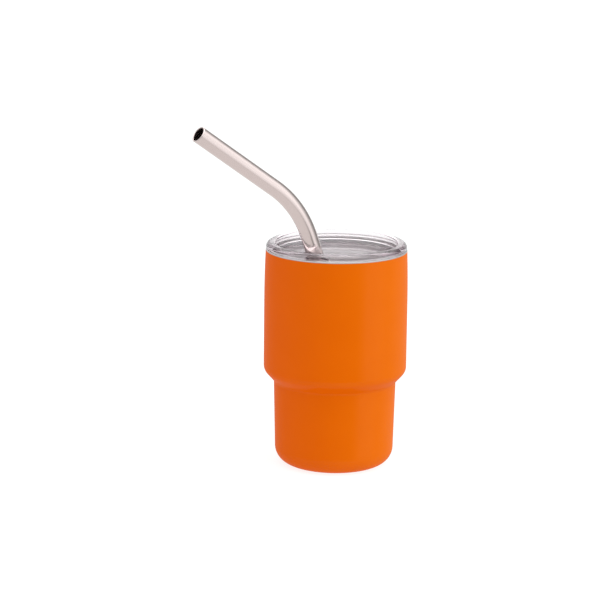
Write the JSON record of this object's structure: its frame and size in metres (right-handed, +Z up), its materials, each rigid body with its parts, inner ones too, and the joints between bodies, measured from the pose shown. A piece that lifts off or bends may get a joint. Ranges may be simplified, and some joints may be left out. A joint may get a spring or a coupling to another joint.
{
  "type": "insulated straw tumbler",
  "caption": "Small double-wall steel tumbler, orange stepped body, clear press-in lid and a bent steel straw.",
  "frame": {"origin": "centre of the foot ring, on the surface that the tumbler stands on", "axes": "+Z up along the cup's axis, the straw leans and bends towards -X and -Y"},
  "size_m": [0.0759, 0.0676, 0.1291],
  "materials": {
    "paint": "gloss",
    "steel": "satin",
    "steel_raw": "matte",
    "copper": "satin",
    "solder_glass": "gloss",
    "getter": "matte",
    "clear_plastic": "clear gloss",
    "silicone": "translucent",
    "straw_steel": "polished"
  },
  "bodies": {
    "cup": {"outer_shell": "paint", "liner_wall": "steel", "liner_bottom": "steel", "copper_foil": "copper", "vacuum_base": "steel_raw", "sealing_bead": "solder_glass", "getter_pellet": "getter", "getter_holder": "steel_raw", "base_cover": "steel"},
    "gasket": {"lid_gasket": "silicone"},
    "lid": {"lid_body": "clear_plastic"},
    "straw": {"straw": "straw_steel"}
  },
  "joints": [
    {"name": "lid_lift", "type": "slide", "parent": "cup", "child": "gasket", "axis": [0, 0, 1], "range_m": [0, 0.09]},
    {"name": "lid_turn", "type": "hinge", "parent": "gasket", "child": "lid", "pos_m": [0, 0, 0.0777], "axis": [0, 0, 1], "continuous": true},
    {"name": "straw_pull", "type": "slide", "parent": "lid", "child": "straw", "axis": [-0.2938, -0.1751, 0.9397], "range_m": [0, 0.09]}
  ]
}
